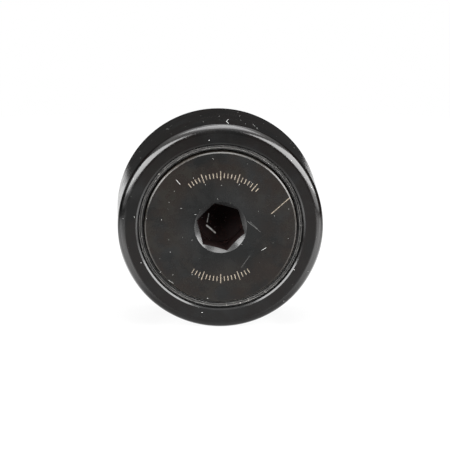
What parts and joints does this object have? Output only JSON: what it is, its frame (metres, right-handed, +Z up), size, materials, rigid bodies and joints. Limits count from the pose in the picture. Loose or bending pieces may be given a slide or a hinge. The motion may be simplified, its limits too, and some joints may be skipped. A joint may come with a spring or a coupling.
{
  "type": "stud cam follower",
  "caption": "Stud-mounted cam follower: a black oxide roller on sealed needle rollers, with a hex socket in the stud's flange, a threaded end and a grease nipple.",
  "frame": {"origin": "centre of the roller on the stud's axis, midway between the roller's end faces", "axes": "+Y along the stud's axis, from the hex socket's face to the threaded end; +Z up, through the stud's grease holes"},
  "size_m": [0.0381, 0.063, 0.038],
  "materials": {
    "black_oxide_stud": "oiled black oxide, fine ground, with faint brown and blue bloom",
    "black_oxide_ring": "oiled black oxide, smooth ground, glossy at the corners",
    "seal_polymer": "dark grey moulded nitrile and nylon, matte",
    "bright_steel": "ground bright bearing steel",
    "nipple_plating": "zinc plated steel"
  },
  "bodies": {
    "stud": {"stud": "black_oxide_stud", "end_plate": "black_oxide_stud", "grease_nipple": "nipple_plating", "nipple_spring": "bright_steel"},
    "roller": {"outer_ring": "black_oxide_ring", "seal_front": "seal_polymer", "seal_rear": "seal_polymer"},
    "needles": {"needle_01": "bright_steel", "needle_02": "bright_steel", "needle_03": "bright_steel", "needle_04": "bright_steel", "needle_05": "bright_steel", "needle_06": "bright_steel", "needle_07": "bright_steel", "needle_08": "bright_steel", "needle_09": "bright_steel", "needle_10": "bright_steel", "needle_11": "bright_steel", "needle_12": "bright_steel", "needle_13": "bright_steel", "needle_14": "bright_steel", "needle_15": "bright_steel", "needle_16": "bright_steel", "needle_17": "bright_steel", "needle_18": "bright_steel", "needle_19": "bright_steel", "needle_20": "bright_steel", "needle_21": "bright_steel", "needle_22": "bright_steel", "needle_23": "bright_steel", "needle_24": "bright_steel"},
    "check_ball": {"nipple_ball": "bright_steel"}
  },
  "joints": [
    {"name": "roller_spin", "type": "hinge", "parent": "stud", "child": "roller", "pos_m": [0, 0, 0], "axis": [0, 1, 0], "continuous": true},
    {"name": "needle_orbit", "type": "hinge", "parent": "stud", "child": "needles", "pos_m": [0, 0, 0], "axis": [0, 1, 0], "continuous": true},
    {"name": "ball_lift", "type": "slide", "parent": "stud", "child": "check_ball", "axis": [0, -1, 0], "range_m": [0, 0.0007], "stiffness_N_per_m": 300, "springref_m": -0.001, "deforming": ["nipple_spring"]}
  ],
  "couplings": [
    {"joint": "needle_orbit", "follows": "roller_spin", "ratio": 0.56496}
  ]
}
